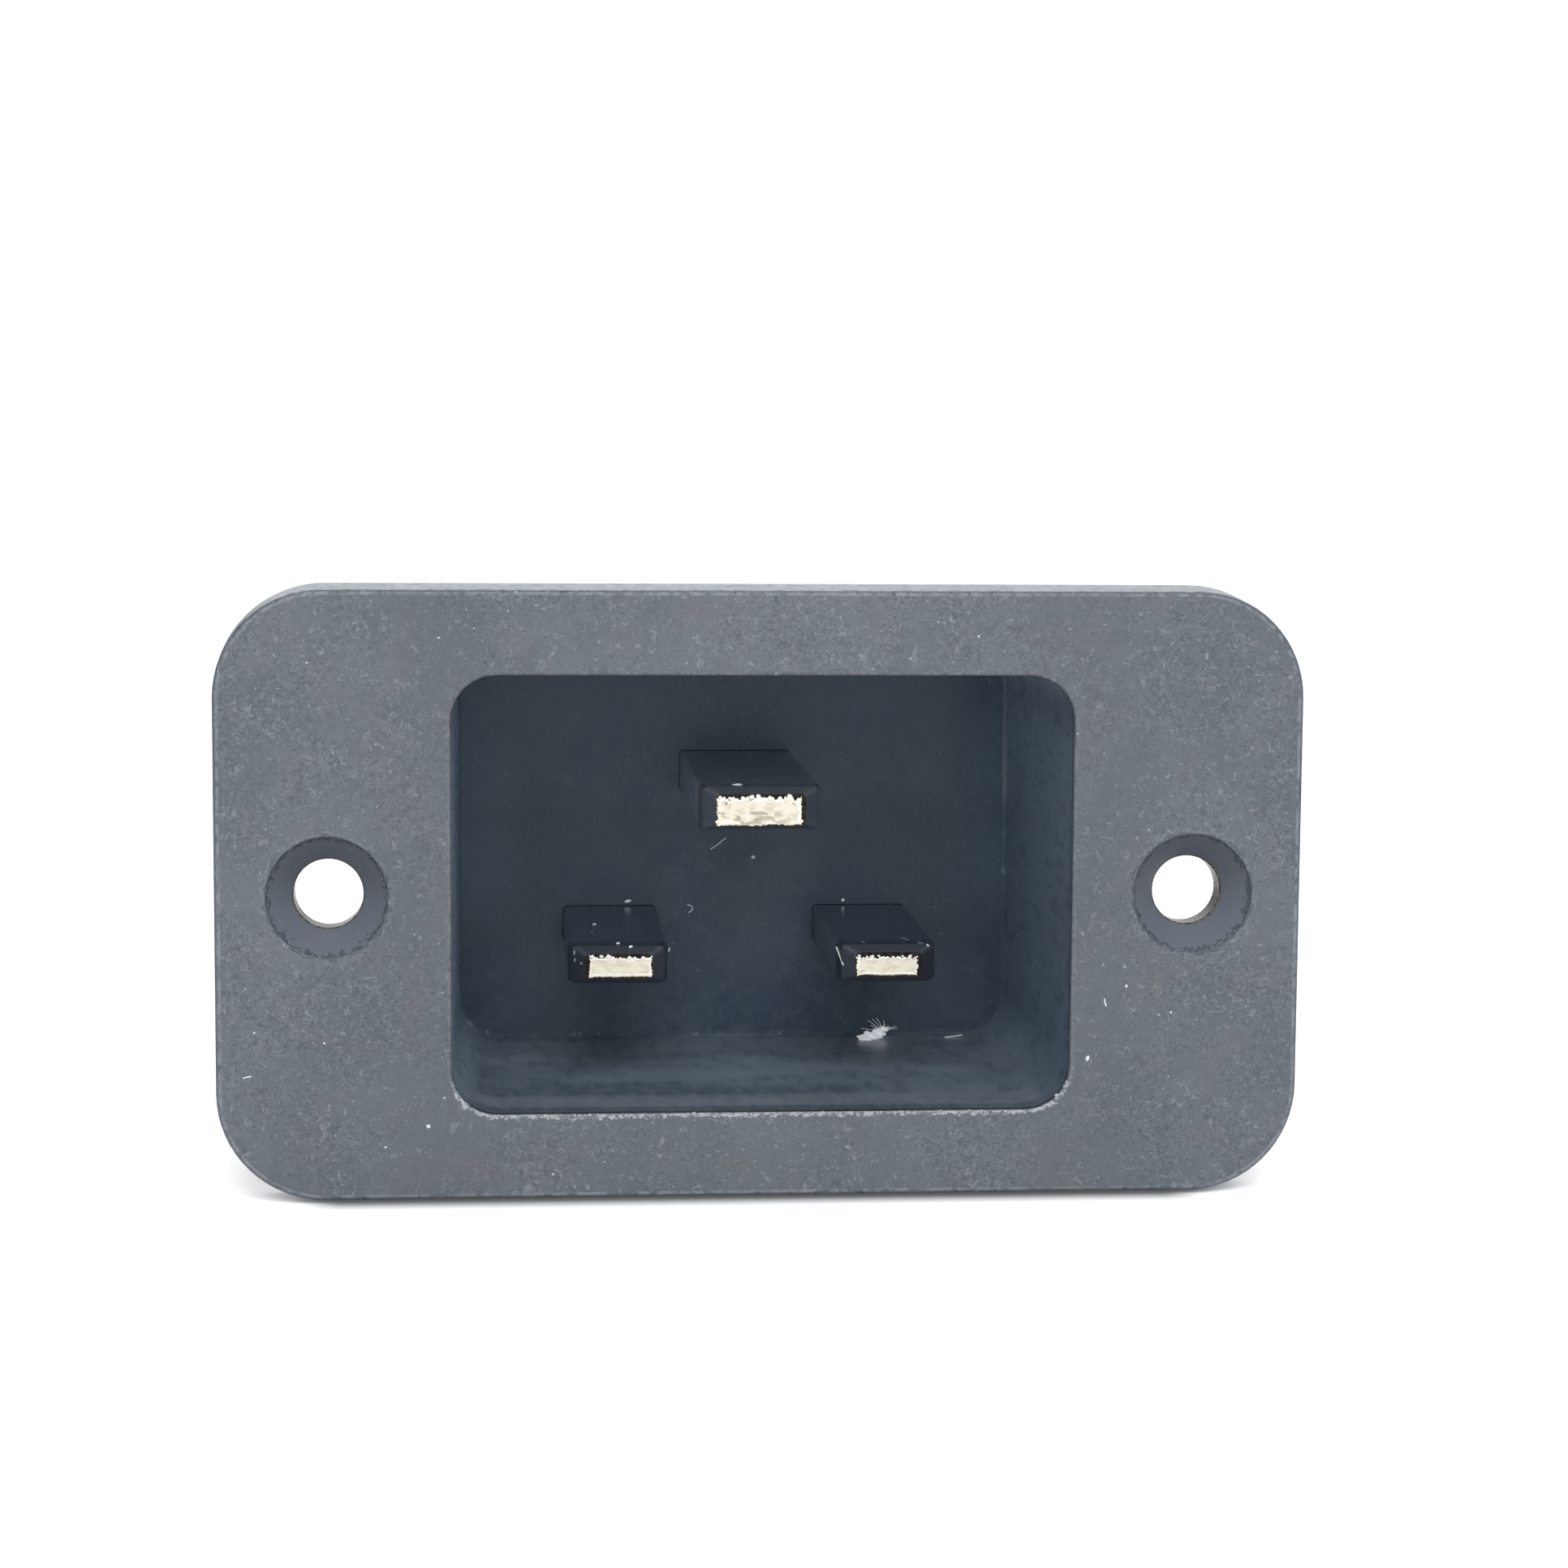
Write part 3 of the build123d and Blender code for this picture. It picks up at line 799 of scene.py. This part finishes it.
def fluff():
    """The wisp of lint at the back of the cavity's lower wall, with a few hairs."""
    wall_z = -OPENING[1] / 2 + 0.09
    crumbs("lint_wisp", [
        (6.72, floor_y - 1.9, wall_z + 0.08, 0.8, 0.36, 0.5),
        (7.15, floor_y - 1.6, wall_z + 0.16, 0.9, 0.4, 0.5),
        (7.5, floor_y - 1.4, wall_z + 0.3, 0.7, 0.36, 0.5),
        (7.8, floor_y - 1.1, wall_z + 0.42, 0.42, 0.22, 0.4),
    ], lint_material("bright_lint", 0.3), 5)
    rng = random.Random(12)
    for count in range(LINT_HAIRS):
        angle = rng.uniform(0.1, pi - 0.1)
        reach = rng.uniform(0.5, 1.3)
        points = []
        for step in range(4):
            share = step / 3
            x = 7.6 + reach * share * cos(angle + 0.5 * share)
            z = wall_z + 0.3 + 0.6 * reach * share * sin(angle)
            points.append((x, floor_y - 0.9 + rng.uniform(-0.15, 0.15), z))
        fibre(f"lint_hair_{count + 1}", points, 0.03)


def dust_crumbs(on_face):
    """The plainest crumbs on the flange and the cavity's floor, and a scatter of small ones."""
    rng = random.Random(8)
    places = [
        (-15.43, on_face, -10.64, 0.17, 0.17, 0.08),
        (15.19, on_face, -7.74, 0.16, 0.26, 0.08),
        (0.97, floor_y - 0.01, -0.71, 0.2, 0.16, 0.08),
        (16.97, on_face, -4.34, 0.12, 0.14, 0.07),
        (19.09, on_face, -5.6, 0.1, 0.12, 0.06),
    ]
    wanted = len(places) + SMALL_CRUMBS
    while len(places) < wanted:
        x = rng.uniform(-24.3, 24.3)
        z = rng.uniform(-13.3, 13.3)
        in_opening = abs(x) < OPENING[0] / 2 + 0.3 and abs(z) < OPENING[1] / 2 + 0.3
        near_hole = abs(abs(x) - HOLE_X) < 3.1 and abs(z) < 3.1
        in_corner = abs(x) > 21.5 and abs(z) > 10.5
        if in_opening or near_hole or in_corner:
            continue
        size = rng.uniform(0.04, 0.09)
        places.append((x, on_face, z, size * rng.uniform(0.8, 1.8), size, 0.05))
    crumbs("dust_crumbs", places, lint, 6)


def dust():
    """The crumbs, hairs and scrapes on the flange and in the cavity."""
    on_face = face_y - 0.01
    on_floor = floor_y - 0.01
    dust_crumbs(on_face)

    flat_fibre("flange_fibre", on_face, [(-23.85, -8.3), (-23.68, -8.25), (-23.48, -8.23)], 0.07)
    curl = [(-19.1, -8.4), (-18.6, -8.3), (-18.2, -8.75), (-18.45, -9.2)]
    flat_fibre("flange_curl", on_face, curl, 0.04, scuff)
    flat_fibre("flange_dash", on_face, [(15.95, -4.92), (15.93, -5.1), (16.04, -5.27)], 0.08)
    curl = [(16.5, -0.3), (16.66, -0.22), (16.78, -0.38), (16.66, -0.5)]
    flat_fibre("flange_loop", on_face, curl, 0.05, scuff)
    flat_fibre("floor_fibre", on_floor, [(-1.25, -0.3), (-0.85, -0.02), (-0.45, 0.3)], 0.05)
    curl = [(-2.45, -3.2), (-2.2, -3.25), (-2.15, -3.5), (-2.4, -3.62)]
    flat_fibre("floor_curl", on_floor, curl, 0.05)

    seam_z = 0.06 - OPENING[1] / 2
    ends = [(-12.74, -11.2), (-10.98, -9.66), (-8.65, -8.3), (1.9, 4.1), (5.9, 6.3), (9.2, 10.2)]
    for index, (start, stop) in enumerate(ends):
        points = [(start, seam_z), ((start + stop) / 2, seam_z + 0.02), (stop, seam_z)]
        flat_fibre(f"seam_thread_{index + 1}", on_floor, points, 0.05)
    tall = [(14.14, 8.6), (14.16, 6.4), (14.18, 4.1)]
    flat_fibre("side_thread", on_floor - 0.1, tall, 0.035, scuff)

    low_z = 0.04 - OPENING[1] / 2
    scrape = [(10.95, 15.6, low_z + 0.08), (11.4, 15.75, low_z + 0.1), (11.9, 16.05, low_z + 0.12)]
    fibre("wall_scrape", scrape, 0.07)
    scrape = [(13.66, 17.0, -9.42), (13.86, 17.03, -9.18), (13.93, 17.03, -8.9)]
    fibre("corner_scrape", scrape, 0.06, scuff)


def pin_marks():
    """Specks of lint and scrapes on the pins' upper faces and coined tips."""
    crumbs("pin_lint", [
        (-1.08, 0.11, 4.86, 0.42, 0.05, 0.12),
        (-5.91, 3.67, -3.34, 0.2, 0.14, 0.07),
        (-6.51, 4.26, -3.26, 0.2, 0.1, 0.08),
        (-7.44, 10.44, -3.22, 0.24, 0.07, 0.14),
        (8.46, 3.67, -3.38, 0.1, 0.22, 0.08),
    ], lint, 9)
    crumbs("pin_scrapes", [
        (-7.64, 8.09, -3.23, 0.16, 0.05, 0.2),
        (-8.6, 3.62, -3.6, 0.1, 0.24, 0.06),
        (-8.57, 3.6, -3.95, 0.12, 0.22, 0.06),
        (-8.27, 3.24, -4.05, 0.14, 0.12, 0.06),
        (5.39, 4.21, -3.26, 0.3, 0.05, 0.2),
        (7.6, 4.66, -3.22, 0.8, 0.04, 0.1),
        (8.17, 3.98, -3.28, 0.3, 0.06, 0.22),
    ], scuff, 10)
    crumbs("root_specks", [
        (-5.55, floor_y - 0.02, -2.99, 0.34, 0.14, 0.06),
        (5.69, floor_y - 0.02, -3.0, 0.16, 0.16, 0.06),
        (-3.39, floor_y - 0.02, -5.56, 0.1, 0.22, 0.06),
    ], lint, 13)
    # A pale curved line on the neutral pin's left bevel.
    fibre("neutral_pale_line", [(4.1, 4.52, -3.54), (4.2, 4.0, -3.9), (4.35, 3.64, -4.28)], 0.07)


def floor():
    """A white table top, brighter to the camera so that it meets the white background, with a painted
    contact shadow where the part is near.
    """
    half = 1.5
    corners = [(-half, -half, 0), (half, -half, 0), (half, half, 0), (-half, half, 0)]
    mesh = bpy.data.meshes.new("table_top")
    mesh.from_pydata(corners, [], [(0, 1, 2, 3)])
    table = bpy.data.objects.new("table_top", mesh)
    bpy.context.scene.collection.objects.link(table)
    table.location.z = cad_low.z
    s = Shader("white_table")
    base = s.node("BsdfDiffuse")
    glow = s.node("Emission")
    path = s.node("LightPath")
    seen = s.larger(path.outputs["Is Camera Ray"], path.outputs["Is Glossy Ray"])
    seen = s.larger(seen, path.outputs["Is Transmission Ray"])
    pale = (FLOOR_COLOR, FLOOR_COLOR, FLOOR_COLOR, 1)
    white = (FLOOR_SEEN_COLOR, FLOOR_SEEN_COLOR, FLOOR_SEEN_COLOR, 1)
    # Painted shadow: the table's colour darkened where the part is near, within a span along X.
    near = s.node("AmbientOcclusion", samples=8)
    near.inputs["Distance"].default_value = CONTACT_SHADOW_MM * MM
    hidden = s.remap(near.outputs["AO"], 0.42, 1.0, 0.92, 0.0)
    under_edge = s.band(s.along("X"), *CONTACT_SHADOW_X, 3.0)
    shaded = s.blend(s.product(hidden, under_edge), white, CONTACT_SHADOW_COLOR)
    s.feed(base.inputs["Color"], s.blend(seen, pale, shaded))
    s.feed(glow.inputs["Strength"], s.product(seen, FLOOR_FILL))
    both = s.node("AddShader")
    s.feed(both.inputs[0], base.outputs[0])
    s.feed(both.inputs[1], glow.outputs[0])
    s.feed(s.output.inputs["Surface"], both.outputs[0])
    mesh.materials.append(s.material)


def sky():
    """A plain grey sky that lights the part, and a white one wherever it is seen."""
    world = bpy.data.worlds.new("studio")
    bpy.context.scene.world = world
    world.use_nodes = True
    tree = world.node_tree
    background = tree.nodes["Background"]
    background.inputs["Color"].default_value = (1, 1, 1, 1)
    path = tree.nodes.new("ShaderNodeLightPath")
    seen = tree.nodes.new("ShaderNodeMath")
    seen.operation = "MAXIMUM"
    seen_or_through = tree.nodes.new("ShaderNodeMath")
    seen_or_through.operation = "MAXIMUM"
    level = tree.nodes.new("ShaderNodeMapRange")
    level.inputs["To Min"].default_value = SKY_LEVEL
    level.inputs["To Max"].default_value = 1.0
    tree.links.new(path.outputs["Is Camera Ray"], seen.inputs[0])
    tree.links.new(path.outputs["Is Glossy Ray"], seen.inputs[1])
    tree.links.new(seen.outputs[0], seen_or_through.inputs[0])
    tree.links.new(path.outputs["Is Transmission Ray"], seen_or_through.inputs[1])
    tree.links.new(seen_or_through.outputs[0], level.inputs["Value"])
    tree.links.new(level.outputs["Result"], background.inputs["Strength"])


def softbox(name, place, watts):
    """A square lamp that looks at the part."""
    light = bpy.data.lights.new(name, "AREA")
    light.shape = "SQUARE"
    light.size = LAMP_SIZE
    light.energy = watts
    lamp = bpy.data.objects.new(name, light)
    lamp.location = place
    lamp.rotation_euler = (Vector() - Vector(place)).to_track_quat("-Z", "Y").to_euler()
    bpy.context.scene.collection.objects.link(lamp)


def camera():
    """The camera that took the photograph, with its lens and place."""
    lens = bpy.data.cameras.new("camera")
    lens.sensor_width = SENSOR_MM
    lens.lens = FOCAL_PIXELS / FRAME_PIXELS * SENSOR_MM
    lens.clip_start = 0.01
    eye = bpy.data.objects.new("camera", lens)
    eye.location = [v * MM for v in CAMERA_PLACE_MM]
    eye.rotation_euler = [radians(v) for v in CAMERA_TURN_DEG]
    bpy.context.scene.collection.objects.link(eye)
    bpy.context.scene.camera = eye


dress("housing", housing_material())
dress("rear_cover", cover_material())
pin_metal = pin_material()
tab_metal = tab_material()
for contact in ("line", "neutral", "earth"):
    dress(contact + "_pin", pin_metal)
    dress(contact + "_tab", tab_metal)
sheared = sheared_material("sheared_brass", srgb(212, 203, 181), srgb(240, 234, 217))
rolled = sheared_material("rolled_brass", srgb(244, 240, 226), srgb(254, 252, 244))
sheared_rim = sheared_rim_material()
burnt_rim = burnt_rim_material()
scuff = scuff_material()
lint = lint_material("lint", 0.12)
sheared_end("earth", wide=4.0, tall=1.28, aside=-0.1, drop=0.09, tear=0.16, seed=3)
sheared_end("line", wide=3.0, tall=0.92, aside=0.1, drop=0.03, tear=0.1, seed=5)
sheared_end("neutral", wide=2.95, tall=0.87, aside=-0.08, drop=0.05, tear=0.1, seed=8)
worn_lip()
fluff()
dust()
pin_marks()

floor()
sky()
softbox("key_lamp", KEY_LAMP_PLACE, KEY_LAMP_WATTS)
softbox("front_lamp", FRONT_LAMP_PLACE, FRONT_LAMP_WATTS)
camera()

view = bpy.context.scene.view_settings
view.view_transform = "Standard"
